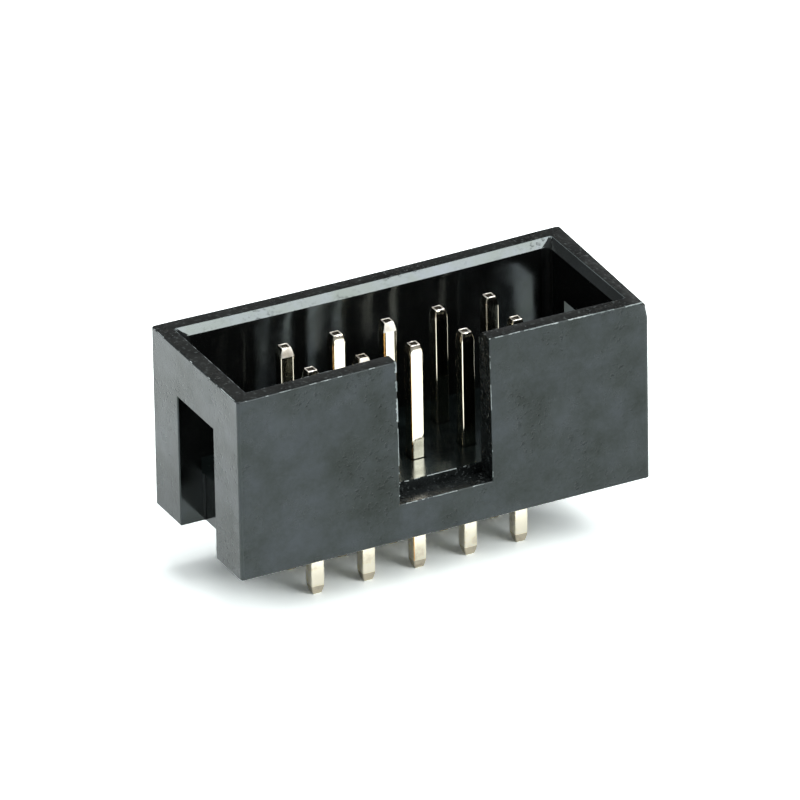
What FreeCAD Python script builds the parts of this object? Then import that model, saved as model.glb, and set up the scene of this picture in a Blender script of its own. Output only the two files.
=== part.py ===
import FreeCAD, Part
import math
import os

import Sketcher

# Box header for ribbon cable: a moulded shroud that holds two rows of square contact pins.
# X runs along the rows, Y across them with the polarising slot at -Y, and Z up out of the mouth.
# The origin is the middle of the pin grid on the face that seats on the board.

document = FreeCAD.newDocument("box_header")
sheet = document.addObject("Spreadsheet::Sheet", "sizes")

# Driving sizes in millimetres

SIZES = (
    ("per_row", 5, "contact pins in each of the two rows"),
    ("pitch", 2.54, "spacing of the pins along a row"),
    ("row_spacing", 2.54, "spacing of the two rows"),
    ("end_reach", 5.07, "from the last pin of a row to the outer end face"),
    ("housing_width", 8.5, "outside width across the rows"),
    ("housing_height", 8.8, "from the seating face to the rim"),
    ("long_wall", 1.02, "thickness of the two long walls, just below the lead-in"),
    ("end_wall", 1.05, "thickness of the two end walls, just below the lead-in"),
    ("cavity_draft", 0.05, "how far each cavity wall leans in from there down to the floor"),
    ("floor_thickness", 2.3, "plastic that the pins stand in"),
    ("outer_corner_radius", 0.15, "outer upright corners"),
    ("cavity_corner_radius", 0.36, "upright corners inside the cavity, up to the lead-in"),
    ("rim_corner_radius", 0.12, "corners of the mouth at the rim"),
    ("mouth_depth", 0.36, "height of the sloping lead-in round the mouth"),
    ("mouth_slope", 0.29, "how far the lead-in cuts into each wall"),
    ("key_width", 4.6, "polarising slot in the front wall"),
    ("key_step", 0.5, "how far the slot's sill lies below the cavity floor"),
    ("vent_width", 3.5, "slot through each end wall"),
    ("vent_height", 6.4, "from the seating face to the top of an end slot"),
    ("vent_relief", 0.12, "how far an end slot cuts on past the wall, into the floor"),
    ("vent_corner_radius", 0.08, "upright corners of that cut"),
    ("edge_radius", 0.06, "outer edges of the moulding"),
    ("mouth_edge_radius", 0.04, "edges of the lead-in round the mouth"),
    ("pin_width", 0.64, "side of the square wire"),
    ("wire_corner_radius", 0.06, "drawn corners of the wire"),
    ("pin_point_width", 0.42, "side of the cut end of the wire"),
    ("pin_shoulder_width", 0.58, "side of the wire half way down the swaged end"),
    ("pin_taper", 0.46, "length of a swaged end"),
    ("pin_reach", 5.6, "from the cavity floor to the tip of a pin"),
    ("tail_reach", 3.2, "from the seating face to the tip of a solder tail"),
    ("hole_clearance", 0.01, "gap on each side of a pin in its hole"),
    ("recess_margin", 0.07, "shallow recess round the foot of a pin, on each side"),
    ("recess_depth", 0.05, "depth of that recess"),
)

for row, (alias, number, note) in enumerate(SIZES, start=1):
    sheet.set(f"A{row}", alias)
    sheet.set(f"B{row}", str(number))
    sheet.set(f"C{row}", note)
    sheet.setAlias(f"B{row}", alias)
document.recompute()

# Sizes that follow from the driving ones, as expressions on the sheet

ROW_LENGTH = "(sizes.pitch * (sizes.per_row - 1))"
HOUSING_LENGTH = f"({ROW_LENGTH} + 2 * sizes.end_reach)"
CAVITY_LENGTH = f"({HOUSING_LENGTH} - 2 * sizes.end_wall)"
CAVITY_WIDTH = "(sizes.housing_width - 2 * sizes.long_wall)"
FLOOR_LENGTH = f"({CAVITY_LENGTH} - 2 * sizes.cavity_draft)"
FLOOR_WIDTH = f"({CAVITY_WIDTH} - 2 * sizes.cavity_draft)"
MOUTH_LENGTH = f"({CAVITY_LENGTH} + 2 * sizes.mouth_slope)"
MOUTH_WIDTH = f"({CAVITY_WIDTH} + 2 * sizes.mouth_slope)"
MOUTH_FOOT = "(sizes.housing_height - sizes.mouth_depth)"
KEY_SILL = "(sizes.floor_thickness - sizes.key_step)"
KEY_HEIGHT = f"(sizes.housing_height - {KEY_SILL})"
KEY_CUT = "(sizes.long_wall + sizes.cavity_draft)"
VENT_CUT = "(sizes.end_wall + sizes.cavity_draft + sizes.vent_relief)"
HOLE_WIDTH = "(sizes.pin_width + 2 * sizes.hole_clearance)"
RECESS_WIDTH = "(sizes.pin_width + 2 * sizes.recess_margin)"
PIN_TIP = "(sizes.floor_thickness + sizes.pin_reach)"
TIP_SHOULDER = f"({PIN_TIP} - sizes.pin_taper)"
TAIL_SHOULDER = "(sizes.tail_reach - sizes.pin_taper)"

TOUCH = 1e-6
TURN_SLIVER = 1e-4


def value(expression):
    """Gives an expression on the sheet as a plain number."""
    result = sheet.evalExpression(expression)
    return float(getattr(result, "Value", result))


# Sketches

def origin_part(body, role):
    """Finds an origin plane or axis of a body by its role."""
    return next(part for part in body.Origin.OriginFeatures if part.Role == role)


def add_sketch(body, name, role, height=None):
    """Adds a sketch on an origin plane of the body, lifted along the plane's normal by an expression."""
    sketch = body.newObject("Sketcher::SketchObject", name)
    sketch.AttachmentSupport = [(origin_part(body, role), "")]
    sketch.MapMode = "FlatFace"
    if height is not None:
        sketch.setExpression(".AttachmentOffset.Base.z", height)
    return sketch


def bind(sketch, constraint, name, expression):
    """Adds a named constraint and ties it to an expression."""
    index = sketch.addConstraint(constraint)
    sketch.renameConstraint(index, name)
    sketch.setExpression(f"Constraints.{name}", expression)


def draw_loop(sketch, corners):
    """Draws a closed run of lines through the corners and gives the number of its first line."""
    lines = [
        Part.LineSegment(FreeCAD.Vector(*start, 0), FreeCAD.Vector(*end, 0))
        for start, end in zip(corners, corners[1:] + corners[:1])
    ]
    first = sketch.addGeometry(lines, False)[0]
    count = len(lines)
    for index in range(count):
        following = first + (index + 1) % count
        sketch.addConstraint(Sketcher.Constraint("Coincident", first + index, 2, following, 1))
    return first


def draw_box(sketch, width, height, name="box", base=None, centre=None):
    """Draws a rectangle that is level with the sketch's axes.

    Its middle lies on the vertical axis. It stands on the height `base`, or else its middle is
    the height `centre`, or else the origin.
    """
    half = value(width) / 2
    if base is not None:
        low = value(base)
    else:
        low = (value(centre) if centre else 0) - value(height) / 2
    high = low + value(height)
    bottom = draw_loop(sketch, [(-half, low), (half, low), (half, high), (-half, high)])
    right, top, left = bottom + 1, bottom + 2, bottom + 3
    for line, level in ((top, "Horizontal"), (right, "Vertical"), (left, "Vertical")):
        sketch.addConstraint(Sketcher.Constraint(level, line))
    bind(sketch, Sketcher.Constraint("DistanceX", bottom, 1, bottom, 2, 2 * half), f"{name}_width", width)
    bind(sketch, Sketcher.Constraint("DistanceY", right, 1, right, 2, high - low), f"{name}_height", height)
    sketch.addConstraint(Sketcher.Constraint("Symmetric", bottom, 1, bottom, 2, -2))
    start = base if base is not None else f"{centre or 0} - {height} / 2"
    bind(sketch, Sketcher.Constraint("DistanceY", -1, 1, bottom, 1, low), f"{name}_base", start)


def draw_rounded_box(sketch, width, height, radius):
    """Draws a rectangle with round corners, with its middle on the origin."""
    across, along, bend = value(width) / 2, value(height) / 2, value(radius)
    turn = FreeCAD.Vector(0, 0, 1)
    quarter = math.pi / 2
    lines, arcs = [], []
    for index, (x_sign, y_sign) in enumerate(((1, -1), (1, 1), (-1, 1), (-1, -1))):
        centre = FreeCAD.Vector(x_sign * (across - bend), y_sign * (along - bend), 0)
        start_angle = (index - 1) * quarter
        arcs.append(Part.ArcOfCircle(Part.Circle(centre, turn, bend), start_angle, start_angle + quarter))
    for before, after in zip(arcs[-1:] + arcs[:-1], arcs):
        lines.append(Part.LineSegment(before.EndPoint, after.StartPoint))
    first_line = sketch.addGeometry(lines, False)[0]
    first_arc = sketch.addGeometry(arcs, False)[0]
    for index in range(4):
        arc, following = first_arc + index, first_line + (index + 1) % 4
        sketch.addConstraint(Sketcher.Constraint("Tangent", first_line + index, 2, arc, 1))
        sketch.addConstraint(Sketcher.Constraint("Tangent", arc, 2, following, 1))
        level = "Vertical" if index % 2 else "Horizontal"
        sketch.addConstraint(Sketcher.Constraint(level, first_line + index))
    for index in range(1, 4):
        sketch.addConstraint(Sketcher.Constraint("Equal", first_arc, first_arc + index))
    sketch.addConstraint(Sketcher.Constraint("Symmetric", first_arc, 3, first_arc + 2, 3, -1, 1))
    bind(sketch, Sketcher.Constraint("Radius", first_arc, bend), "corner", radius)
    bind(
        sketch,
        Sketcher.Constraint("DistanceX", first_line + 3, 1, first_line + 1, 1, 2 * across),
        "width",
        width,
    )
    bind(
        sketch,
        Sketcher.Constraint("DistanceY", first_line, 1, first_line + 2, 1, 2 * along),
        "height",
        height,
    )


# Features

def extrude(body, kind, name, sketch, length):
    """Pads or pockets a sketch by a length, and checks that a pocket really cuts."""
    document.recompute()
    before = body.Shape.Volume if body.Tip else 0
    feature = body.newObject(f"PartDesign::{kind}", name)
    feature.Profile = sketch
    feature.setExpression("Length", length)
    document.recompute()
    if kind == "Pocket" and body.Shape.Volume > before - TOUCH:
        raise RuntimeError(f"{name} cuts nothing")
    return feature


def round_edges(body, name, radius, wanted):
    """Fillets the edges of the body's last feature for which wanted(edge) holds."""
    document.recompute()
    base = body.Tip
    names = [f"Edge{index}" for index, edge in enumerate(base.Shape.Edges, start=1) if wanted(edge)]
    fillet = body.newObject("PartDesign::Fillet", name)
    fillet.Base = (base, names)
    fillet.setExpression("Radius", radius)
    document.recompute()
    return fillet


def is_upright(edge):
    """Tells whether an edge is a straight line along Z."""
    if not isinstance(edge.Curve, Part.Line):
        return False
    return abs(abs(edge.Curve.Direction.z) - 1) < TURN_SLIVER


def lies_on(edge, axis, place):
    """Tells whether both ends of an edge lie on a plane square to X, Y or Z."""
    return all(abs(getattr(vertex.Point, axis) - value(place)) < TURN_SLIVER for vertex in edge.Vertexes)


# The moulded housing, one piece of glass-filled polyester

def build_housing():
    """Builds the shroud: outer block, cavity, mouth, slots and the square holes for the pins."""
    body = document.addObject("PartDesign::Body", "housing")
    body.Label = "housing"
    half_length = f"{HOUSING_LENGTH} / 2"
    half_width = "sizes.housing_width / 2"

    outline = add_sketch(body, "outline", "XY_Plane")
    draw_box(outline, HOUSING_LENGTH, "sizes.housing_width")
    extrude(body, "Pad", "block", outline, "sizes.housing_height")
    round_edges(body, "outer_corners", "sizes.outer_corner_radius", is_upright)

    add_cavity(body)

    key_outline = add_sketch(body, "key_outline", "XZ_Plane", half_width)
    draw_box(key_outline, "sizes.key_width", KEY_HEIGHT, base=KEY_SILL)
    extrude(body, "Pocket", "key_slot", key_outline, KEY_CUT)

    vent_outline = add_sketch(body, "vent_outline", "YZ_Plane", half_length)
    draw_box(vent_outline, "sizes.vent_width", "sizes.vent_height", base="0")
    vent = extrude(body, "Pocket", "end_slot", vent_outline, VENT_CUT)
    far_vent = body.newObject("PartDesign::Mirrored", "both_end_slots")
    far_vent.Originals = [vent]
    far_vent.MirrorPlane = (origin_part(body, "YZ_Plane"), [""])
    body.Tip = far_vent

    vent_ends = (f"{half_length} - {VENT_CUT}", f"{VENT_CUT} - {half_length}")

    def is_slot_corner(edge):
        """Tells whether an edge is an upright inner corner that an end slot leaves in the floor."""
        return is_upright(edge) and any(lies_on(edge, "x", place) for place in vent_ends)

    round_edges(body, "end_slot_corners", "sizes.vent_corner_radius", is_slot_corner)

    add_pin_holes(body)

    sides = (("x", half_length), ("x", f"-({half_length})"), ("y", half_width), ("y", f"-({half_width})"))

    def is_outer_edge(edge):
        """Tells whether an edge bounds an outer wall: at the rim, at the seating face or at a slot."""
        full_height = abs(edge.Length - value("sizes.housing_height")) < TURN_SLIVER
        outside = any(lies_on(edge, axis, place) for axis, place in sides)
        return outside and not (is_upright(edge) and full_height)

    round_edges(body, "outer_edges", "sizes.edge_radius", is_outer_edge)
    return body


def add_cavity(body):
    """Cuts the cavity with its draft, and the sloping lead-in from there out to the rim."""
    sections = []
    for name, height, length, width, radius in (
        ("cavity_floor", "sizes.floor_thickness", FLOOR_LENGTH, FLOOR_WIDTH, "cavity_corner_radius"),
        ("mouth_foot", MOUTH_FOOT, CAVITY_LENGTH, CAVITY_WIDTH, "cavity_corner_radius"),
        ("mouth_rim", "sizes.housing_height", MOUTH_LENGTH, MOUTH_WIDTH, "rim_corner_radius"),
    ):
        section = add_sketch(body, name, "XY_Plane", height)
        draw_rounded_box(section, length, width, f"sizes.{radius}")
        sections.append(section)
    cavity = body.newObject("PartDesign::SubtractiveLoft", "cavity")
    cavity.Profile = sections[0]
    cavity.Sections = sections[1:]
    cavity.Ruled = True

    def is_mouth_edge(edge):
        """Tells whether an edge runs round the mouth, at the rim or at the foot of the lead-in."""
        at_rim = lies_on(edge, "z", "sizes.housing_height")
        inside = all(
            abs(vertex.X) <= value(MOUTH_LENGTH) / 2 + TURN_SLIVER
            and abs(vertex.Y) <= value(MOUTH_WIDTH) / 2 + TURN_SLIVER
            for vertex in edge.Vertexes
        )
        return inside and (at_rim or lies_on(edge, "z", MOUTH_FOOT))

    round_edges(body, "mouth_edges", "sizes.mouth_edge_radius", is_mouth_edge)


def add_pin_holes(body):
    """Cuts the square holes through the floor, each with a shallow recess at the top."""
    cuts = []
    for name, width, top, depth in (
        ("pin_hole", HOLE_WIDTH, "sizes.floor_thickness", "sizes.floor_thickness"),
        ("foot_recess", RECESS_WIDTH, "sizes.floor_thickness", "sizes.recess_depth"),
    ):
        outline = add_sketch(body, f"{name}_outline", "XY_Plane", top)
        outline.setExpression(".AttachmentOffset.Base.x", f"-{ROW_LENGTH} / 2")
        for row, place in (("front", "-sizes.row_spacing / 2"), ("back", "sizes.row_spacing / 2")):
            draw_box(outline, width, width, name=row, centre=place)
        cuts.append(extrude(body, "Pocket", name, outline, depth))
    rows = body.newObject("PartDesign::LinearPattern", "pin_rows")
    rows.Originals = cuts
    rows.Direction = (origin_part(body, "X_Axis"), [""])
    rows.setExpression("Length", ROW_LENGTH)
    rows.setExpression("Occurrences", "sizes.per_row")
    body.Tip = rows
    document.recompute()


# The contacts, cut from square tin-plated brass wire with drawn corners and pressed into the floor

def add_pin_end(body, name, shoulder, tip, flip):
    """Lofts one swaged end of the wire, from its shoulder to its cut point."""
    middle = f"(({shoulder} + {tip}) / 2)"
    sections = []
    for part, height, width in (
        ("shoulder", shoulder, "sizes.pin_width"),
        ("swage", middle, "sizes.pin_shoulder_width"),
        ("point", tip, "sizes.pin_point_width"),
    ):
        sketch = add_sketch(body, f"{name}_{part}_{body.Name}", "XY_Plane", f"{flip}{height}")
        draw_rounded_box(sketch, width, width, "sizes.wire_corner_radius")
        sections.append(sketch)
    loft = body.newObject("PartDesign::AdditiveLoft", f"{name}_{body.Name}")
    loft.Profile = sections[0]
    loft.Sections = sections[1:]
    document.recompute()


def build_contact(number, column, side):
    """Builds one pin and stands it in its hole, in the given column of the front or back row."""
    body = document.addObject("PartDesign::Body", f"contact_pin_{number}")
    body.Label = f"contact_pin_{number}"
    section = add_sketch(body, f"wire_section_{number}", "XY_Plane", f"-{TAIL_SHOULDER}")
    draw_rounded_box(section, "sizes.pin_width", "sizes.pin_width", "sizes.wire_corner_radius")
    extrude(body, "Pad", f"wire_{number}", section, f"({TIP_SHOULDER} + {TAIL_SHOULDER})")
    add_pin_end(body, "tip", TIP_SHOULDER, PIN_TIP, "")
    add_pin_end(body, "tail", TAIL_SHOULDER, "sizes.tail_reach", "-")
    body.setExpression(".Placement.Base.x", f"{column} * sizes.pitch - {ROW_LENGTH} / 2")
    body.setExpression(".Placement.Base.y", f"{side} * sizes.row_spacing / 2")
    return body


def check(parts):
    """Stops if any object failed to compute or a sub-part has no sound solid."""
    document.recompute()
    for item in document.Objects:
        if "Invalid" in item.State or "Error" in item.State:
            raise RuntimeError(f"{item.Name} failed: {item.State}")
    for part in parts:
        if part.Shape.isNull() or not part.Shape.isValid() or len(part.Shape.Solids) != 1:
            raise RuntimeError(f"{part.Label} has no sound solid")


parts = [build_housing()]
for number in range(2 * int(value("sizes.per_row"))):
    column, row = divmod(number, 2)
    parts.append(build_contact(number + 1, column, 1 if row else -1))
check(parts)

os.makedirs("parts", exist_ok=True)
for part in parts:
    part.Shape.exportStep(f"parts/{part.Label}.step")
    box = part.Shape.optimalBoundingBox()
    print(
        f"{part.Label}: {part.Shape.Volume:.3f} mm3,"
        f" x {box.XMin:.3f} to {box.XMax:.3f}, y {box.YMin:.3f} to {box.YMax:.3f},"
        f" z {box.ZMin:.3f} to {box.ZMax:.3f}"
    )
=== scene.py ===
"""Looks of a box header: a moulded shroud that holds two rows of tin-plated contact pins.

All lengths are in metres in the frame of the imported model. X runs along the rows of pins, Y across them
with the polarising slot at -Y, and Z up out of the mouth. The origin is on the face that seats on the board.
"""

import logging
import math
import random
from dataclasses import dataclass
from enum import Enum

import bmesh
import bpy
from mathutils import Matrix, Vector

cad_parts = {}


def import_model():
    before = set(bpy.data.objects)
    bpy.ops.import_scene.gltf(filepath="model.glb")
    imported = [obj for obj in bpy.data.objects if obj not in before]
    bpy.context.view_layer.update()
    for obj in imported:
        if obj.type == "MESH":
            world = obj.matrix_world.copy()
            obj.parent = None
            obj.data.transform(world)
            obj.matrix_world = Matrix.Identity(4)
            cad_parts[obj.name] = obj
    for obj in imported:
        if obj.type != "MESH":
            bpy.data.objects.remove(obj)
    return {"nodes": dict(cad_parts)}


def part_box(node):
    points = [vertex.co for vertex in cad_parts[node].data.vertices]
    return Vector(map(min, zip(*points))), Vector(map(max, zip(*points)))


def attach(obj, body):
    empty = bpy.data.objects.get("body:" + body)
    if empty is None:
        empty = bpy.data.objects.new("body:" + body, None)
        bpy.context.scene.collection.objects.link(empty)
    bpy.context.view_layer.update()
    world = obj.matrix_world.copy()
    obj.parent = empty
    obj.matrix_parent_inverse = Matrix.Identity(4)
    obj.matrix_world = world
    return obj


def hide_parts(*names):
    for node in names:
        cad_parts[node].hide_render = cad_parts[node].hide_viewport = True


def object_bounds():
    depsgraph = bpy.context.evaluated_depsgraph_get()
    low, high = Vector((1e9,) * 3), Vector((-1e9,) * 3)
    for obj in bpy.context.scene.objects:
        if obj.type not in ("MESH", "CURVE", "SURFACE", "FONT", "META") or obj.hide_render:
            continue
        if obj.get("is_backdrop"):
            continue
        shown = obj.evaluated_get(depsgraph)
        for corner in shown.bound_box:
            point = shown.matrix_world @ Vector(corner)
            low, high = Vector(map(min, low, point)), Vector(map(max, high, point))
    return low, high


MM = 0.001
BODY = "root"
SENSOR_WIDTH_MM = 36.0
POLYESTER_IOR = 1.54
SAME_POINT = 1e-7

log = logging.getLogger("box_header")


# Small helpers

def linear(hex_colour: str) -> tuple[float, float, float, float]:
    """Turns an sRGB colour into linear light.

    Args:
        hex_colour: The colour as it looks on screen, such as "#1A2B3C".

    Returns:
        Red, green, blue and an alpha of 1, in linear light.
    """
    channels = []
    for start in (1, 3, 5):
        level = int(hex_colour[start : start + 2], 16) / 255
        channels.append(level / 12.92 if level <= 0.04045 else ((level + 0.055) / 1.055) ** 2.4)
    return (*channels, 1.0)


def per_metre(size_mm: float) -> float:
    """Gives the texture scale at which one feature of a pattern is that many millimetres long."""
    return 1.0 / (size_mm * MM)


def add_node(
    tree: bpy.types.NodeTree,
    kind: str,
    settings: dict | None = None,
    links: dict | None = None,
) -> bpy.types.Node:
    """Adds a node with its settings and links.

    Args:
        tree: The node tree that the node goes into.
        kind: The node's type, such as "ShaderNodeBump".
        settings: The node's own properties by name.
        links: Its inputs by name or number. Each is a socket or node that feeds the input, or its plain value.

    Returns:
        The new node.
    """
    node = tree.nodes.new(kind)
    for name, value in (settings or {}).items():
        setattr(node, name, value)
    for name, value in (links or {}).items():
        if isinstance(value, bpy.types.Node):
            value = value.outputs[0]
        if isinstance(value, bpy.types.NodeSocket):
            tree.links.new(value, node.inputs[name])
        else:
            node.inputs[name].default_value = value
    return node


def new_material(name: str) -> tuple[bpy.types.Material, bpy.types.NodeTree]:
    """Makes an empty node material.

    Args:
        name: The material's name.

    Returns:
        The material and its node tree.
    """
    material = bpy.data.materials.new(name)
    material.use_nodes = True
    material.node_tree.nodes.clear()
    return material, material.node_tree


def new_object(name: str, mesh: bpy.types.Mesh) -> bpy.types.Object:
    """Puts a mesh into the scene.

    Args:
        name: The new object's name.
        mesh: Its mesh.

    Returns:
        The new object.
    """
    made = bpy.data.objects.new(name, mesh)
    bpy.context.scene.collection.objects.link(made)
    return made


# Finishes

@dataclass(frozen=True)
class MouldedPolyester:
    """Black glass-filled polyester with the finish that one kind of mould steel leaves.

    The pigment gives a deep, slightly cold black. The glass near the skin gives a faint grey bloom, and the
    steel's texture settles how sharply it mirrors the white table. Release film lies on it in blotches that
    weaken the gloss and shift its tint. The grain of real mould steel is a few hundredths of a millimetre,
    which is too fine to show, so it is drawn at 0.11 mm.
    """

    name: str
    pigment: str = "#0C0E0E"
    bloom: str = "#181B1B"
    chip: str = "#5A6060"
    gloss_tint: str = "#E9F4FF"
    stain_tint: str = "#EEFCF2"
    roughness: float = 0.42
    roughness_spread: float = 0.08
    film: float = 0.5
    film_spread: float = 0.06
    pit_shade: float = 0.0
    grain_mm: float = 0.11
    grain_depth_mm: float = 0.004
    flow_depth_mm: float = 0.001
    pit_depth_mm: float = 0.0
    fleck_share: float = 0.0
    patch_mm: float = 1.6
    stain_mm: float = 2.6
    flow_mm: float = 0.22
    flow_stretch: float = 20.0
    pit_mm: float = 0.22
    cluster_mm: float = 2.4
    chip_mm: float = 0.16

    def build(self) -> bpy.types.Material:
        """Makes the material.

        Returns:
            The finished material.
        """
        material, tree = new_material(self.name)
        place = add_node(tree, "ShaderNodeTexCoord").outputs["Object"]
        grain = add_node(
            tree,
            "ShaderNodeTexNoise",
            links={"Vector": place, "Scale": per_metre(self.grain_mm), "Detail": 3.0, "Roughness": 0.55},
        )
        patches = add_node(
            tree,
            "ShaderNodeTexNoise",
            links={"Vector": place, "Scale": per_metre(self.patch_mm), "Detail": 5.0, "Roughness": 0.6},
        )
        upright = add_node(
            tree, "ShaderNodeMapping", links={"Vector": place, "Scale": (1.0, 1.0, 1.0 / self.flow_stretch)}
        )
        flow = add_node(
            tree,
            "ShaderNodeTexNoise",
            links={"Vector": upright, "Scale": per_metre(self.flow_mm), "Detail": 2.0, "Roughness": 0.5},
        )
        haze = add_node(
            tree,
            "ShaderNodeMapRange",
            links={"Value": patches, "From Min": 0.35, "From Max": 0.7},
        )
        body = add_node(
            tree,
            "ShaderNodeMix",
            {"data_type": "RGBA"},
            {0: haze, 6: linear(self.pigment), 7: linear(self.bloom)},
        )
        flecks = self.add_flecks(tree, place)
        colour = add_node(
            tree,
            "ShaderNodeMix",
            {"data_type": "RGBA"},
            {0: flecks, 6: body.outputs[2], 7: linear(self.chip)},
        )
        gloss = add_node(
            tree,
            "ShaderNodeMapRange",
            links={
                "Value": patches,
                "From Min": 0.3,
                "From Max": 0.7,
                "To Min": self.roughness - self.roughness_spread,
                "To Max": self.roughness + self.roughness_spread,
            },
        )
        stains = self.add_stains(tree, place)
        tint = add_node(
            tree,
            "ShaderNodeMix",
            {"data_type": "RGBA"},
            {0: stains, 6: linear(self.gloss_tint), 7: linear(self.stain_tint)},
        )
        film = add_node(
            tree,
            "ShaderNodeMapRange",
            links={
                "Value": stains,
                "To Min": self.film + self.film_spread,
                "To Max": self.film - self.film_spread,
            },
        )
        pits = self.add_pits(tree, place)
        # Painted shade: the gloss drops in the pits, so that they read darker than the skin round them.
        bare = add_node(tree, "ShaderNodeMapRange", links={"Value": pits, "To Min": 1.0 - self.pit_shade})
        gloss_film = add_node(tree, "ShaderNodeMath", {"operation": "MULTIPLY"}, {0: film, 1: bare})
        grain_bump = add_node(
            tree,
            "ShaderNodeBump",
            links={"Height": grain, "Distance": self.grain_depth_mm * MM, "Strength": 1.0},
        )
        flow_bump = add_node(
            tree,
            "ShaderNodeBump",
            links={"Height": flow, "Distance": self.flow_depth_mm * MM, "Strength": 1.0, "Normal": grain_bump},
        )
        pit_bump = add_node(
            tree,
            "ShaderNodeBump",
            links={
                "Height": pits,
                "Distance": self.pit_depth_mm * MM,
                "Strength": 1.0,
                "Normal": flow_bump,
            },
        )
        shader = add_node(
            tree,
            "ShaderNodeBsdfPrincipled",
            links={
                "Base Color": colour.outputs[2],
                "Roughness": gloss,
                "IOR": POLYESTER_IOR,
                "Specular IOR Level": gloss_film,
                "Specular Tint": tint.outputs[2],
                "Normal": pit_bump,
            },
        )
        add_node(tree, "ShaderNodeOutputMaterial", links={"Surface": shader})
        return material

    def add_stains(self, tree: bpy.types.NodeTree, place: bpy.types.NodeSocket) -> bpy.types.Node:
        """Adds the blotches of release film that weaken or strengthen the gloss.

        Args:
            tree: The material's node tree.
            place: The socket that gives the place on the part.

        Returns:
            A node whose output is the thickness of the film.
        """
        blotches = add_node(
            tree,
            "ShaderNodeTexNoise",
            links={"Vector": place, "Scale": per_metre(self.stain_mm), "Detail": 8.0, "Roughness": 0.72},
        )
        return add_node(
            tree,
            "ShaderNodeMapRange",
            links={"Value": blotches, "From Min": 0.33, "From Max": 0.67},
        )

    def add_pits(self, tree: bpy.types.NodeTree, place: bpy.types.NodeSocket) -> bpy.types.Node:
        """Adds sparse clusters of small pits.

        Args:
            tree: The material's node tree.
            place: The socket that gives the place on the part.

        Returns:
            A node whose output is the height of the skin, lower in the pits.
        """
        specks = add_node(
            tree,
            "ShaderNodeTexNoise",
            links={"Vector": place, "Scale": per_metre(self.pit_mm), "Detail": 3.0, "Roughness": 0.6},
        )
        sunk = add_node(
            tree,
            "ShaderNodeMapRange",
            links={"Value": specks, "From Min": 0.34, "From Max": 0.44},
        )
        clusters = add_node(
            tree,
            "ShaderNodeTexNoise",
            links={"Vector": place, "Scale": per_metre(self.cluster_mm), "Detail": 2.0},
        )
        here = add_node(
            tree,
            "ShaderNodeMapRange",
            links={"Value": clusters, "From Min": 0.48, "From Max": 0.62},
        )
        return add_node(
            tree,
            "ShaderNodeMix",
            links={0: here, 2: 1.0, 3: sunk},
        )

    def add_flecks(self, tree: bpy.types.NodeTree, place: bpy.types.NodeSocket) -> bpy.types.Node:
        """Adds small pale flecks where the skin has chipped.

        Args:
            tree: The material's node tree.
            place: The socket that gives the place on the part.

        Returns:
            A node whose output is the strength of the flecks.
        """
        chips = add_node(
            tree,
            "ShaderNodeTexNoise",
            links={"Vector": place, "Scale": per_metre(self.chip_mm), "Detail": 2.0, "Roughness": 0.6},
        )
        return add_node(
            tree,
            "ShaderNodeMapRange",
            links={"Value": chips, "From Min": 0.6, "From Max": 0.66, "To Max": self.fleck_share},
        )


@dataclass(frozen=True)
class TinPlatedBrass:
    """Bright tin over drawn brass wire.

    The tin gives a pale, faintly warm mirror. The drawing die leaves fine lines along the wire, and the press
    tool roughens the swaged ends. Real die lines are about 0.01 mm apart, which is too fine to show, so they
    are drawn at 0.05 mm.
    """

    name: str
    tin: str = "#EEE5D2"
    shadow: str = "#B9AE98"
    roughness: float = 0.1
    roughness_spread: float = 0.05
    line_depth_mm: float = 0.0004
    dent_mm: float = 0.09
    dent_depth_mm: float = 0.0
    line_mm: float = 0.05
    line_stretch: float = 50.0
    tarnish_mm: float = 0.7

    def build(self) -> bpy.types.Material:
        """Makes the material.

        Returns:
            The finished material.
        """
        material, tree = new_material(self.name)
        place = add_node(tree, "ShaderNodeTexCoord").outputs["Object"]
        along = add_node(
            tree, "ShaderNodeMapping", links={"Vector": place, "Scale": (1.0, 1.0, 1.0 / self.line_stretch)}
        )
        lines = add_node(
            tree,
            "ShaderNodeTexNoise",
            links={"Vector": along, "Scale": per_metre(self.line_mm), "Detail": 2.0, "Roughness": 0.6},
        )
        dents = add_node(
            tree,
            "ShaderNodeTexNoise",
            links={"Vector": place, "Scale": per_metre(self.dent_mm), "Detail": 3.0, "Roughness": 0.6},
        )
        tarnish = add_node(
            tree,
            "ShaderNodeTexNoise",
            links={"Vector": place, "Scale": per_metre(self.tarnish_mm), "Detail": 4.0, "Roughness": 0.6},
        )
        shade = add_node(
            tree,
            "ShaderNodeMapRange",
            links={"Value": tarnish, "From Min": 0.5, "From Max": 0.8},
        )
        colour = add_node(
            tree,
            "ShaderNodeMix",
            {"data_type": "RGBA"},
            {0: shade, 6: linear(self.tin), 7: linear(self.shadow)},
        )
        gloss = add_node(
            tree,
            "ShaderNodeMapRange",
            links={
                "Value": dents,
                "From Min": 0.3,
                "From Max": 0.7,
                "To Min": self.roughness - self.roughness_spread,
                "To Max": self.roughness + self.roughness_spread,
            },
        )
        line_bump = add_node(
            tree,
            "ShaderNodeBump",
            links={"Height": lines, "Distance": self.line_depth_mm * MM, "Strength": 1.0},
        )
        dent_bump = add_node(
            tree,
            "ShaderNodeBump",
            links={"Height": dents, "Distance": self.dent_depth_mm * MM, "Strength": 1.0, "Normal": line_bump},
        )
        shader = add_node(
            tree,
            "ShaderNodeBsdfPrincipled",
            links={"Base Color": colour.outputs[2], "Metallic": 1.0, "Roughness": gloss, "Normal": dent_bump},
        )
        add_node(tree, "ShaderNodeOutputMaterial", links={"Surface": shader})
        return material


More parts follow.
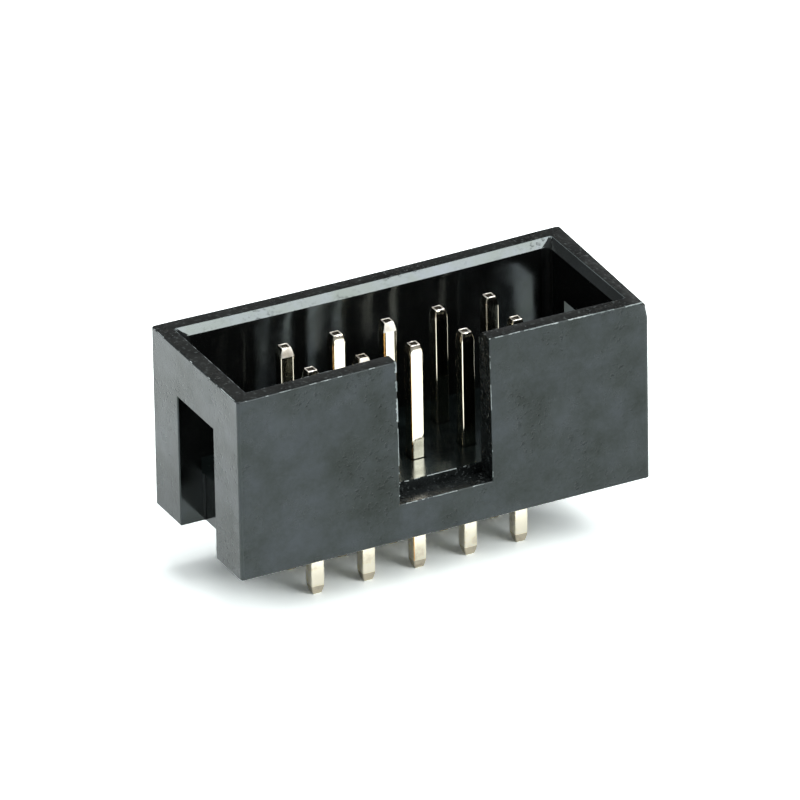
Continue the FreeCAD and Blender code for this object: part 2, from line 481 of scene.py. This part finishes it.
@dataclass(frozen=True)
class TablePaper:
    """White matt card under the part, which shows as plain white where no shadow falls.

    The camera and the part's gloss see it brighter than the light that it sends on, as overexposed card.
    """

    name: str = "white_card"
    white: str = "#EFF5F4"
    exposure: float = 1.65

    def build(self) -> bpy.types.Material:
        """Makes the material.

        Returns:
            The finished material.
        """
        material, tree = new_material(self.name)
        path = add_node(tree, "ShaderNodeLightPath")
        seen = path.outputs["Is Camera Ray"]
        for ray in ("Is Glossy Ray", "Is Transmission Ray"):
            seen = add_node(
                tree, "ShaderNodeMath", {"operation": "MAXIMUM"}, {0: seen, 1: path.outputs[ray]}
            ).outputs[0]
        lit = linear(self.white)
        bright = (*(self.exposure * level for level in lit[:3]), 1.0)
        colour = add_node(tree, "ShaderNodeMix", {"data_type": "RGBA"}, {0: seen, 6: lit, 7: bright})
        matt = add_node(tree, "ShaderNodeBsdfDiffuse", links={"Color": colour.outputs[2]})
        add_node(tree, "ShaderNodeOutputMaterial", links={"Surface": matt})
        return material


# The moulded shroud

class Surface(Enum):
    """How a face of the shroud was made, which settles its finish."""

    ERODED = "outer wall from a spark-eroded cavity"
    RIM = "rim from ground steel"
    LEAD_IN = "sloping lead-in at the mouth"
    POLISHED = "inner wall from a polished core"
    FLOOR = "cavity floor from the core's ground end"
    SLOT = "cheek or sill of the polarising slot"
    CORNER = "rounded corner of the cavity, dull from the cutter"
    # The top of the mouth's edge is painted pale grey as a painted highlight.
    MOUTH_EDGE_HIGHLIGHT = "edge of the mouth, rubbed pale by the cable socket"
    # Rounded edges are greyer, partly from scuffing and partly as a painted highlight.
    EDGE_WEAR_AND_HIGHLIGHT = "rounded edge that handling has scuffed"


SHROUD_FINISHES = {
    # Even satin that mirrors the table softly, with blotches of release film and a few small pits.
    Surface.ERODED: MouldedPolyester(
        "eroded_polyester",
        roughness=0.24,
        film=0.343,
        film_spread=0.11,
        flow_depth_mm=0.0005,
        pit_shade=0.22,
        pit_depth_mm=0.01,
    ),
    # Faintly olive, pitted and chipped by handling, which makes it the roughest outer face.
    Surface.RIM: MouldedPolyester(
        "rim_polyester",
        gloss_tint="#FBFFF2",
        stain_tint="#FFEFD2",
        roughness=0.3,
        film=0.46,
        film_spread=0.3,
        pit_shade=0.7,
        pit_depth_mm=0.02,
        fleck_share=0.5,
    ),
    # Bright slope that mirrors the key lamp, broken by fine grain.
    Surface.LEAD_IN: MouldedPolyester(
        "lead_in_polyester",
        roughness=0.14,
        roughness_spread=0.04,
        film=0.54,
        grain_depth_mm=0.0016,
        pit_shade=0.3,
        pit_depth_mm=0.004,
    ),
    # Near-black gloss that mirrors the pins.
    Surface.POLISHED: MouldedPolyester(
        "polished_polyester",
        "#080909",
        "#0C0D0D",
        roughness=0.15,
        film=0.4,
        grain_depth_mm=0.0003,
        flow_depth_mm=0.00006,
    ),
    # Black gloss with a cold green tint and a soft image of the pins' feet.
    Surface.FLOOR: MouldedPolyester(
        "floor_polyester",
        "#070A0A",
        "#0E1414",
        gloss_tint="#D8F6FF",
        stain_tint="#E4FFF8",
        roughness=0.18,
        grain_depth_mm=0.0008,
        pit_depth_mm=0.002,
    ),
    # Dull and uneven, with small pale chips.
    Surface.SLOT: MouldedPolyester(
        "slot_polyester",
        roughness=0.26,
        film=0.14,
        film_spread=0.12,
        grain_depth_mm=0.01,
        pit_shade=0.8,
        pit_depth_mm=0.03,
        fleck_share=0.35,
    ),
    # Flat black that shows no clear mirror image.
    Surface.CORNER: MouldedPolyester("cutter_polyester", "#080909", "#0C0D0D", roughness=0.5, film=0.15),
    # Thin pale grey line along the mouth's edge: a painted highlight for the light that this edge catches.
    Surface.MOUTH_EDGE_HIGHLIGHT: MouldedPolyester("mouth_edge_painted_highlight", "#464D4D", "#717979", roughness=0.4, pit_shade=0.6),
    # Slightly greyer than the walls that it joins: partly scuffing, partly a painted highlight on the rounded edges.
    Surface.EDGE_WEAR_AND_HIGHLIGHT: MouldedPolyester("edge_wear_and_painted_highlight", bloom="#232727", film=0.4, roughness=0.4),
}


@dataclass
class Shroud:
    """The one-piece moulded shroud, dressed face by face.

    The long walls have shrunk inwards a little at the middle of the rim, as thin walls of a moulding do.
    """

    node: str = "housing"
    name: str = "moulded_shroud"
    floor_height: float = 2.3 * MM
    sill_height: float = 1.8 * MM
    key_half: float = 2.3 * MM
    wall: float = 1.1 * MM
    lead_in_height: float = 0.36 * MM
    bow: float = 0.15 * MM
    slice_length: float = 0.5 * MM
    slice_height: float = 0.8 * MM
    worn_reach: float = 0.45 * MM
    worn_depth: float = 0.3 * MM
    worn_way: tuple[float, float, float] = (-0.35, 0.25, -1.0)
    # Height of the painted highlight along the top of the mouth's edge.
    highlight_height: float = 0.045 * MM
    edge_margin: float = 0.1 * MM
    bow_power: float = 1.5
    flat: float = 0.999
    least_slope: float = 0.2
    most_slope: float = 0.9
    corner_slant: float = 0.15
    crease: float = 50.0
    near: float = 0.02 * MM

    def build(self, nodes: dict[str, bpy.types.Object]) -> bpy.types.Object:
        """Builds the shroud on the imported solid's own surface and dresses it.

        Args:
            nodes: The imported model's objects by name.

        Returns:
            The finished piece.
        """
        self.low, self.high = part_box(self.node)
        made = new_object(self.name, self.build_mesh(nodes[self.node]))
        for finish in SHROUD_FINISHES.values():
            made.data.materials.append(finish.build())
        shading = made.modifiers.new("flat_walls", "WEIGHTED_NORMAL")
        shading.mode = "FACE_AREA"
        shading.keep_sharp = True
        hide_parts(self.node)
        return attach(made, BODY)

    def build_mesh(self, node: bpy.types.Object) -> bpy.types.Mesh:
        """Copies the solid's surface as one closed skin, sorts its faces and bows its long walls.

        Args:
            node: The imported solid.

        Returns:
            The skin, with a finish number on every face.
        """
        shape = bmesh.new()
        shape.from_mesh(node.data)
        bmesh.ops.remove_doubles(shape, verts=shape.verts, dist=SAME_POINT)
        kinds = list(SHROUD_FINISHES)
        for face in shape.faces:
            face.smooth = True
            face.normal_update()
            face.material_index = kinds.index(self.surface_of(face.calc_center_median(), face.normal))
        self.slice(shape, Vector((1, 0, 0)), self.low.x, self.high.x, self.slice_length)
        self.slice(shape, Vector((0, 0, 1)), self.floor_height, self.high.z, self.slice_height)
        for vertex in shape.verts:
            vertex.co = self.worn(self.bowed(vertex.co))
        mesh = bpy.data.meshes.new(self.name)
        shape.to_mesh(mesh)
        shape.free()
        if "custom_normal" in mesh.attributes:
            mesh.attributes.remove(mesh.attributes["custom_normal"])
        mesh.set_sharp_from_angle(angle=math.radians(self.crease))
        return mesh

    @staticmethod
    def slice(shape: bmesh.types.BMesh, way: Vector, start: float, end: float, pitch: float) -> None:
        """Cuts the skin's faces along evenly spaced planes, so that the walls can bend.

        Args:
            shape: The skin.
            way: The direction square to the planes.
            start: Where the sliced stretch starts.
            end: Where it ends.
            pitch: The spacing of the planes.
        """
        count = round((end - start) / pitch)
        for step in range(1, count):
            bmesh.ops.bisect_plane(
                shape,
                geom=shape.verts[:] + shape.edges[:] + shape.faces[:],
                dist=SAME_POINT / 10,
                plane_co=way * (start + (end - start) * step / count),
                plane_no=way,
            )

    def bowed(self, place: Vector) -> Vector:
        """Moves a point of a long wall in by its share of the bow.

        Args:
            place: The point on the straight wall.

        Returns:
            The point on the bowed wall.
        """
        if place.z <= self.floor_height or abs(place.y) < self.high.y - self.wall - self.edge_margin:
            return place
        height = (place.z - self.floor_height) / (self.high.z - self.floor_height)
        along = max(0.0, 1 - (place.x / (self.high.x - self.wall)) ** 2)
        lean = self.bow * along * height**self.bow_power
        return Vector((place.x, place.y - math.copysign(lean, place.y), place.z))

    def worn(self, place: Vector) -> Vector:
        """Moves a point near the far front corner of the rim by what knocks have worn off there.

        Args:
            place: The point on the unworn skin.

        Returns:
            The point on the worn skin.
        """
        corner = Vector((self.high.x, self.low.y, self.high.z))
        near = max(0.0, 1 - (place - corner).length / self.worn_reach)
        return place + Vector(self.worn_way) * self.worn_depth * near

    def surface_of(self, place: Vector, normal: Vector) -> Surface:
        """Tells how the face at that place was made.

        Args:
            place: The middle of the face.
            normal: The direction that it faces.

        Returns:
            How it was made.
        """
        squareness = max(abs(level) for level in normal)
        outside = (
            abs(place.x) > self.high.x - self.near
            or abs(place.y) > self.high.y - self.near
            or place.z < self.low.z + self.near
        )
        at_rim = place.z > self.high.z - self.near
        if squareness > self.flat:
            if outside:
                return Surface.ERODED
            if at_rim:
                return Surface.RIM
            if self.in_key_slot(place):
                return Surface.SLOT
            return Surface.FLOOR if normal.z > self.flat else Surface.POLISHED
        sloping = self.least_slope < normal.z < self.most_slope
        in_mouth = sloping and place.z > self.high.z - self.lead_in_height - self.near
        inside_x = abs(place.x) < self.high.x - self.edge_margin
        deep = inside_x and abs(place.y) < self.high.y - self.edge_margin
        if in_mouth and deep:
            # The very top of the lead-in gets the pale painted highlight.
            if place.z > self.high.z - self.highlight_height:
                return Surface.MOUTH_EDGE_HIGHLIGHT
            turning = min(abs(normal.x), abs(normal.y)) > self.corner_slant
            return Surface.CORNER if turning else Surface.LEAD_IN
        if outside or at_rim or not deep:
            return Surface.EDGE_WEAR_AND_HIGHLIGHT
        return Surface.CORNER if abs(normal.z) < self.least_slope else Surface.POLISHED

    def in_key_slot(self, place: Vector) -> bool:
        """Tells whether a place is on a cheek or the sill of the polarising slot, or on the step behind it."""
        in_wall = place.y < self.low.y + self.wall + self.near
        return in_wall and abs(place.x) < self.key_half + self.near and place.z > self.sill_height - self.near


class Flash(Enum):
    """How heavy the moulding flash along an edge is: its width in millimetres and the share of it that is left."""

    TORN = (0.12, 0.95)
    HEAVY = (0.055, 0.75)
    MEDIUM = (0.045, 0.6)
    LIGHT = (0.035, 0.4)


@dataclass
class FlashLine:
    """A thin ragged bead of stress-whitened plastic that the parting line leaves on an outer edge, its pale colour
    partly a painted highlight along that edge.
    """

    name: str
    start: tuple[float, float, float]
    end: tuple[float, float, float]
    inward: tuple[tuple[float, float, float], tuple[float, float, float]]
    flash: Flash
    seed: int
    step: float = 0.07 * MM
    smallest: float = 0.25
    change_chance: float = 0.3
    lift_mm: float = 0.004
    root_mm: float = 0.09

    def runs(self, shroud: Shroud) -> list[list[list[Vector]]]:
        """Gives the unbroken stretches of the bead.

        Args:
            shroud: The shroud, whose walls bow.

        Returns:
            The runs, each a list of cross-sections with their corners.
        """
        chance = random.Random(self.seed)
        start, end = Vector(self.start) * MM, Vector(self.end) * MM
        first, second = (Vector(way) for way in self.inward)
        width, left = self.flash.value
        count = max(2, round((end - start).length / self.step))
        there = True
        runs = [[]]
        for index in range(count + 1):
            if chance.random() < self.change_chance:
                there = chance.random() < left
            place = start.lerp(end, index / count)
            if not there:
                runs.append([])
                continue
            reach = width * MM * (self.smallest + (1 - self.smallest) * chance.random())
            rise = width * MM * (self.smallest + (1 - self.smallest) * chance.random())
            top = place + (first + second) * self.lift_mm * MM * chance.random()
            root = place + (first + second) * self.root_mm * MM
            corners = [top, place + first * reach, root, place + second * rise]
            runs[-1].append([shroud.bowed(corner) for corner in corners])
        return [run for run in runs if len(run) > 1]

    def add_to(self, shape: bmesh.types.BMesh, shroud: Shroud) -> None:
        """Adds the bead's skin to a mesh, with both ends of each run closed.

        Args:
            shape: The mesh that takes the bead.
            shroud: The shroud that the bead is on.
        """
        runs = self.runs(shroud)
        log.debug("flash on %s: %d runs", self.name, len(runs))
        for run in runs:
            rings = [[shape.verts.new(corner) for corner in corners] for corners in run]
            for before, ring in zip(rings, rings[1:]):
                for index in range(4):
                    after = (index + 1) % 4
                    shape.faces.new((before[index], before[after], ring[after], ring[index]))
            shape.faces.new(rings[0])
            shape.faces.new(list(reversed(rings[-1])))


@dataclass
class MouldFlash:
    """All the flash on the shroud's edges, as one piece.

    The torn plastic is stressed white, so each edge carries a thin, broken, pale line, which is partly a painted
    highlight along the edge.
    """

    shroud: Shroud
    name: str = "mould_flash"
    # Pale beads: partly whitened flash, partly a painted highlight along the edges.
    finish: MouldedPolyester = MouldedPolyester(
        "pale_flash_and_painted_highlight", pigment="#5A6262", bloom="#AEB6B6", roughness=0.4, grain_depth_mm=0.006
    )
    mouth_inset: float = 0.76
    lip_inset: float = 0.73
    block_inset: float = 1.04
    proud: float = 0.02
    torn_foot: float = 5.9
    end_start: float = 3.9
    inner_half: float = 3.4
    heavy_reach: float = 2.0
    corner_gap: float = 0.3
    near_gap: float = 0.4
    foot_gap: float = 0.2

    def lines(self) -> list[FlashLine]:
        """Lists the edges that carry flash, with their places in millimetres.

        Returns:
            The beads.
        """
        low, high = self.shroud.low / MM, self.shroud.high / MM
        half, sill = self.shroud.key_half / MM, self.shroud.sill_height / MM
        back, forward, down, left, right = (0, 1, 0), (0, -1, 0), (0, 0, -1), (-1, 0, 0), (1, 0, 0)
        front, top, floor = low.y, high.z, self.shroud.floor_height / MM
        mouth, lip, block = low.x + self.mouth_inset, front + self.lip_inset, front + self.block_inset
        proud, foot, reach = front - self.proud, self.torn_foot, half + self.heavy_reach
        far, near = high.x - self.corner_gap, low.x + self.near_gap
        end, inner = front + self.corner_gap, self.inner_half
        return [
            FlashLine("far_rim", (far, front, top), (reach, front, top), (back, down), Flash.HEAVY, 3),
            FlashLine("slot_rim", (reach, front, top), (half, front, top), (back, down), Flash.MEDIUM, 5),
            FlashLine("near_rim", (-half, front, top), (near, front, top), (back, down), Flash.LIGHT, 7),
            FlashLine("near_cheek", (-half, proud, top), (-half, proud, foot), (back, left), Flash.TORN, 11),
            FlashLine("near_cheek_foot", (-half, front, foot), (-half, front, sill), (back, left), Flash.LIGHT, 13),
            FlashLine(
                "far_cheek", (half, front, sill + self.foot_gap), (half, front, top), (back, right), Flash.LIGHT, 17
            ),
            FlashLine(
                "sill", (-half + self.corner_gap, front, sill), (half, front, sill), (back, down), Flash.MEDIUM, 19
            ),
            FlashLine("end_rim", (low.x, self.end_start, top), (low.x, end, top), (right, down), Flash.LIGHT, 23),
            FlashLine("block", (-half, block, floor), (half, block, floor), (back, down), Flash.MEDIUM, 29),
            FlashLine("inner_end_rim", (mouth, inner, top), (mouth, -inner, top), (left, down), Flash.LIGHT, 31),
            FlashLine("inner_near_rim", (mouth, lip, top), (-half, lip, top), (forward, down), Flash.LIGHT, 37),
        ]

    def build(self) -> bpy.types.Object:
        """Builds the flash and dresses it.

        Returns:
            The finished piece.
        """
        shape = bmesh.new()
        for line in self.lines():
            line.add_to(shape, self.shroud)
        bmesh.ops.recalc_face_normals(shape, faces=shape.faces)
        mesh = bpy.data.meshes.new(self.name)
        shape.to_mesh(mesh)
        shape.free()
        mesh.materials.append(self.finish.build())
        made = new_object(self.name, mesh)
        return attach(made, BODY)


# The contact pins

class WireFace(Enum):
    """Which tool last worked a face of the wire."""

    DRAWN = "side of the drawn wire"
    WORN = "corner where the die has thinned the tin, so that the brass shows through"
    SWAGED = "side of a swaged end"
    COARSE = "side of an end swaged by a blunt tool"
    # The swaged tail ends are painted darker, as painted shade for the shaded table that they mirror.
    TAIL_PAINTED_SHADE = "side of a swaged tail end, dulled by the press tool"
    BURR = "burr round a cut end"
    SHEARED = "cut end"


WIRE_FINISHES = {
    # Clear mirror with a warm white tone.
    WireFace.DRAWN: TinPlatedBrass("drawn_tin_plate", tin="#E6DDCA", roughness=0.07, roughness_spread=0.03),
    # Thin golden line.
    WireFace.WORN: TinPlatedBrass("thinned_tin_plate", tin="#D9A45E", shadow="#B97A35", roughness=0.2),
    # Mirror that is a little wavy.
    WireFace.SWAGED: TinPlatedBrass(
        "swaged_tin_plate", roughness=0.1, roughness_spread=0.04, line_depth_mm=0.0006, dent_depth_mm=0.0006
    ),
    # Frosted white that takes light from all round.
    WireFace.COARSE: TinPlatedBrass(
        "coarse_tin_plate", tin="#FBF7EE", roughness=0.58, roughness_spread=0.1, dent_mm=0.06, dent_depth_mm=0.008
    ),
    # Grey-brown, clearly darker than the tail above it: painted shade for the shaded table under the part, which this
    # downward slope mirrors.
    WireFace.TAIL_PAINTED_SHADE: TinPlatedBrass(
        "tail_tin_painted_shade", tin="#C0B6A4", shadow="#85786A", roughness=0.2, dent_mm=0.12, dent_depth_mm=0.002
    ),
    # Bright rough ring.
    WireFace.BURR: TinPlatedBrass(
        "burred_tin_plate", tin="#FBF7EE", roughness=0.5, roughness_spread=0.1, dent_depth_mm=0.002
    ),
    # Dark: the cut shows bare brass, and part of its darkness is painted shade that stands in for a tilted sheared
    # face, which the mesh closes flat.
    WireFace.SHEARED: TinPlatedBrass(
        "sheared_wire_end", tin="#A79C88", shadow="#4E4433", roughness=0.16, dent_depth_mm=0.003
    ),
}
COARSE_PINS = frozenset({2, 3, 6})
THINNED_PINS = frozenset({4, 5, 6})
# Degrees about Z.
TURNED_PINS = {2: -1.5, 6: -3.0}


@dataclass
class ContactPin:
    """One length of square wire with drawn corners, swaged at both ends and cut off."""

    number: int
    finishes: list[bpy.types.Material]
    point_half: float = 0.22 * MM
    corner: float = 0.06 * MM
    point_corner: float = 0.035 * MM
    taper: float = 0.44 * MM
    burr: float = 0.03 * MM
    corner_steps: int = 4
    side_steps: int = 6
    taper_steps: int = 4
    wire_steps: int = 14
    ripple: float = 0.0015 * MM
    swage_slant: float = 0.55
    swage_curve: float = 0.45
    burr_profile: tuple[tuple[float, float], ...] = ((0.3, 0.25), (0.0, 0.8), (0.15, 1.4), (0.75, 2.0))
    raggedness: float = 0.6
    end_flatness: float = 0.98
    front_lean: float = 0.5
    corner_lean: float = 0.2
    crease: float = 40.0

    def build(self) -> bpy.types.Object:
        """Builds the pin where its node stands and dresses it.

        Returns:
            The finished piece.
        """
        node = f"contact_pin_{self.number}"
        self.low, self.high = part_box(node)
        self.chance = random.Random(self.number)
        made = new_object(f"contact_wire_{self.number}", self.build_mesh())
        for material in self.finishes:
            made.data.materials.append(material)
        kinds = list(WIRE_FINISHES)
        for face in made.data.polygons:
            face.material_index = kinds.index(self.face_kind(face.center, face.normal))
        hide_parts(node)
        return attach(made, BODY)

    def face_kind(self, place: Vector, normal: Vector) -> WireFace:
        """Tells which tool last worked the face at that place.

        Args:
            place: The middle of the face.
            normal: The direction that it faces.

        Returns:
            The kind of face.
        """
        from_end = min(place.z - self.low.z, self.high.z - place.z)
        if from_end < self.burr:
            return WireFace.SHEARED if abs(normal.z) > self.end_flatness else WireFace.BURR
        # The swaged tail end takes the finish with painted shade.
        if place.z < self.low.z + self.taper:
            return WireFace.TAIL_PAINTED_SHADE
        if from_end < self.taper:
            blunt = self.number in COARSE_PINS and normal.y < -self.front_lean
            return WireFace.COARSE if blunt else WireFace.SWAGED
        at_corner = normal.x < -self.corner_lean and normal.y < -self.corner_lean
        return WireFace.WORN if at_corner and self.number in THINNED_PINS else WireFace.DRAWN

    def ring(self, height: float, half: float, corner: float) -> list[Vector]:
        """Gives the points round the wire.

        Args:
            height: The ring's height.
            half: Half the wire's width there.
            corner: The radius of its corners there.

        Returns:
            The points, anticlockwise as seen from above.
        """
        centre = (self.low + self.high) / 2
        reach = half - corner
        arcs = []
        for quarter in range(4):
            middle = math.pi / 2 * (quarter + 0.5)
            hub = Vector((math.copysign(reach, math.cos(middle)), math.copysign(reach, math.sin(middle)), 0))
            steps = range(self.corner_steps + 1)
            turns = [math.pi / 2 * (quarter + step / self.corner_steps) for step in steps]
            arcs.append([hub + Vector((math.cos(turn), math.sin(turn), 0)) * corner for turn in turns])
        points = []
        for arc, following in zip(arcs, arcs[1:] + arcs[:1]):
            points += arc
            shares = [step / self.side_steps for step in range(1, self.side_steps)]
            points += [arc[-1].lerp(following[0], share) for share in shares]
        turn = Matrix.Rotation(math.radians(TURNED_PINS.get(self.number, 0.0)), 3, "Z")
        return [Vector((centre.x, centre.y, height)) + turn @ point for point in points]

    def levels(self) -> list[tuple[float, float, float]]:
        """Lays out the rings between the two burrs.

        Returns:
            The height, half width and corner radius of each ring, from the tail up.
        """
        half = (self.high.x - self.low.x) / 2
        tip, tail = self.high.z, self.low.z
        ends = []
        for step in range(self.taper_steps, -1, -1):
            share = step / self.taper_steps
            inset = self.burr * share
            spread = (half - self.point_half) * (self.swage_slant * share + self.swage_curve * share * share)
            bend = self.corner + (self.point_corner - self.corner) * share
            ends.append((self.taper * (1 - share) + inset, half - spread, bend))
        levels = [(tail + rise, width, bend) for rise, width, bend in ends]
        start, end = tail + self.taper, tip - self.taper
        for step in range(1, self.wire_steps):
            width = half - self.ripple * self.chance.random()
            levels.append((start + (end - start) * step / self.wire_steps, width, self.corner))
        levels += [(tip - rise, width, bend) for rise, width, bend in reversed(ends)]
        return levels

    def burr_levels(self) -> list[tuple[float, float]]:
        """Gives the depth below the cut end and the half width of each ring of a burr, from the outside in."""
        return [(self.burr * depth, self.point_half - self.burr * inset) for depth, inset in self.burr_profile]

    def build_mesh(self) -> bpy.types.Mesh:
        """Skins the rings and closes both cut ends inside their ragged burrs.

        Returns:
            The wire's closed skin.
        """
        shape = bmesh.new()
        rings = [[shape.verts.new(point) for point in self.ring(*level)] for level in self.levels()]
        for lower, upper in zip(rings, rings[1:]):
            self.join(shape, lower, upper)
        for ring, end, into in ((rings[0], self.low.z, 1), (rings[-1], self.high.z, -1)):
            for depth, half in self.burr_levels():
                bend = min(self.point_corner, half / 2)
                inner = []
                for point in self.ring(end + into * depth, half, bend):
                    ragged = 0.0
                    if depth < self.burr / 2:
                        ragged = self.raggedness * self.burr * self.chance.random() ** 2
                    inner.append(shape.verts.new(point + Vector((0, 0, into * ragged))))
                if into > 0:
                    self.join(shape, inner, ring)
                else:
                    self.join(shape, ring, inner)
                ring = inner
            shape.faces.new(ring if into < 0 else list(reversed(ring)))
        for face in shape.faces:
            face.smooth = True
        mesh = bpy.data.meshes.new(f"contact_wire_{self.number}")
        shape.to_mesh(mesh)
        shape.free()
        mesh.set_sharp_from_angle(angle=math.radians(self.crease))
        shoulders = (self.low.z + self.taper, self.high.z - self.taper)
        for edge in mesh.edges:
            heights = [mesh.vertices[index].co.z for index in edge.vertices]
            if any(max(abs(height - shoulder) for height in heights) < SAME_POINT for shoulder in shoulders):
                edge.use_edge_sharp = True
        return mesh

    @staticmethod
    def join(shape: bmesh.types.BMesh, lower: list, upper: list) -> None:
        """Adds the faces between two rings.

        Args:
            shape: The mesh that takes the faces.
            lower: The points of the one ring.
            upper: The points of the other, in the same order.
        """
        count = len(lower)
        for index in range(count):
            after = (index + 1) % count
            shape.faces.new((lower[index], lower[after], upper[after], upper[index]))


# The studio

@dataclass(frozen=True)
class Softbox:
    """A diffused lamp that faces the part."""

    name: str
    azimuth: float
    elevation: float
    width: float
    height: float
    radiance: float
    distance: float = 0.8

    def build(self) -> bpy.types.Object:
        """Hangs the lamp, with the azimuth in degrees from the front towards +X.

        Returns:
            The lamp.
        """
        lamp = bpy.data.lights.new(self.name, "AREA")
        lamp.shape = "RECTANGLE"
        lamp.size = self.width
        lamp.size_y = self.height
        lamp.energy = self.radiance * math.pi * self.width * self.height
        made = bpy.data.objects.new(self.name, lamp)
        bpy.context.scene.collection.objects.link(made)
        turn, rise = math.radians(self.azimuth), math.radians(self.elevation)
        away = Vector((math.sin(turn) * math.cos(rise), -math.cos(turn) * math.cos(rise), math.sin(rise)))
        made.location = away * self.distance
        made.rotation_euler = away.to_track_quat("Z", "Y").to_euler()
        return made


@dataclass(frozen=True)
class Studio:
    """The table, the lamps, the dim room and the camera.

    The camera's angles are in degrees and its distance and aim in metres. The room's grey turns from its low
    tone to its high one between two heights on the Generated scale of the sky, where 0 is the horizon.
    """

    azimuth: float = -26.746
    elevation: float = 27.333
    roll: float = -1.062
    distance: float = 0.60654
    lens_mm: float = 616.4
    aim: tuple[float, float, float] = (0.000232, 0.000607, 0.004167)
    clip_start: float = 0.01
    floor_reach: float = 3.0
    low_grey: str = "#9C9EA0"
    high_grey: str = "#515355"
    grey_start: float = 0.12
    grey_end: float = 0.56
    lamps: tuple[Softbox, ...] = (
        Softbox("key_softbox", azimuth=35, elevation=41, width=0.42, height=0.48, radiance=11.0),
        Softbox("overhead_softbox", azimuth=0, elevation=86, width=0.42, height=0.42, radiance=6.8),
        Softbox("fill_softbox", azimuth=-105, elevation=56, width=0.45, height=0.45, radiance=4.2),
    )

    def build(self, ground: float) -> None:
        """Sets up everything round the part.

        Args:
            ground: The height of the table.
        """
        self.add_camera()
        self.add_floor(ground)
        self.set_room()
        for lamp in self.lamps:
            lamp.build()
        bpy.context.scene.view_settings.view_transform = "Standard"

    def add_camera(self) -> None:
        """Adds the long-lens camera at the photograph's angle."""
        turn, rise, tilt = (math.radians(angle) for angle in (self.azimuth, self.elevation, self.roll))
        back = Vector((math.sin(turn) * math.cos(rise), -math.cos(turn) * math.cos(rise), math.sin(rise)))
        level = Vector((math.cos(turn), math.sin(turn), 0))
        upright = back.cross(level)
        right = math.cos(tilt) * level + math.sin(tilt) * upright
        up = math.cos(tilt) * upright - math.sin(tilt) * level
        lens = bpy.data.cameras.new("camera")
        lens.sensor_width = SENSOR_WIDTH_MM
        lens.lens = self.lens_mm
        lens.clip_start = self.clip_start
        made = bpy.data.objects.new("camera", lens)
        bpy.context.scene.collection.objects.link(made)
        turned = Matrix((right, up, back)).transposed().to_4x4()
        made.matrix_world = Matrix.Translation(Vector(self.aim) + back * self.distance) @ turned
        bpy.context.scene.camera = made

    def add_floor(self, ground: float) -> None:
        """Lays the white card under the part.

        Args:
            ground: The height of the card.
        """
        reach = self.floor_reach
        mesh = bpy.data.meshes.new("table_card")
        corners = [(-reach, -reach, ground), (reach, -reach, ground), (reach, reach, ground), (-reach, reach, ground)]
        mesh.from_pydata(corners, [], [(0, 1, 2, 3)])
        mesh.materials.append(TablePaper().build())
        new_object("table_card", mesh)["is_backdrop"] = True

    def set_room(self) -> None:
        """Gives the room a dim grey that is paler near the table."""
        world = bpy.data.worlds.new("room")
        world.use_nodes = True
        tree = world.node_tree
        tree.nodes.clear()
        way = add_node(tree, "ShaderNodeTexCoord").outputs["Generated"]
        height = add_node(tree, "ShaderNodeSeparateXYZ", links={0: way}).outputs["Z"]
        rise = add_node(
            tree,
            "ShaderNodeMapRange",
            links={"Value": height, "From Min": self.grey_start, "From Max": self.grey_end},
        )
        grey = add_node(
            tree,
            "ShaderNodeMix",
            {"data_type": "RGBA"},
            {0: rise, 6: linear(self.low_grey), 7: linear(self.high_grey)},
        )
        room = add_node(tree, "ShaderNodeBackground", links={"Color": grey.outputs[2]})
        add_node(tree, "ShaderNodeOutputWorld", links={"Surface": room})
        bpy.context.scene.world = world


def main() -> None:
    """Builds the part's looks and the studio round it."""
    logging.basicConfig(level=logging.INFO, format="%(message)s")
    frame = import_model()
    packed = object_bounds()
    dressing = Shroud()
    shroud = dressing.build(frame["nodes"])
    log.info("%s: %d faces", shroud.name, len(shroud.data.polygons))
    flash = MouldFlash(dressing).build()
    log.info("%s: %d faces", flash.name, len(flash.data.polygons))
    wire = [finish.build() for finish in WIRE_FINISHES.values()]
    pin_count = sum(name.startswith("contact_pin_") for name in frame["nodes"])
    for number in range(1, pin_count + 1):
        pin = ContactPin(number, wire).build()
        log.info("%s: %d faces", pin.name, len(pin.data.polygons))
    Studio().build(packed[0].z)


if __name__ == "__main__":
    main()
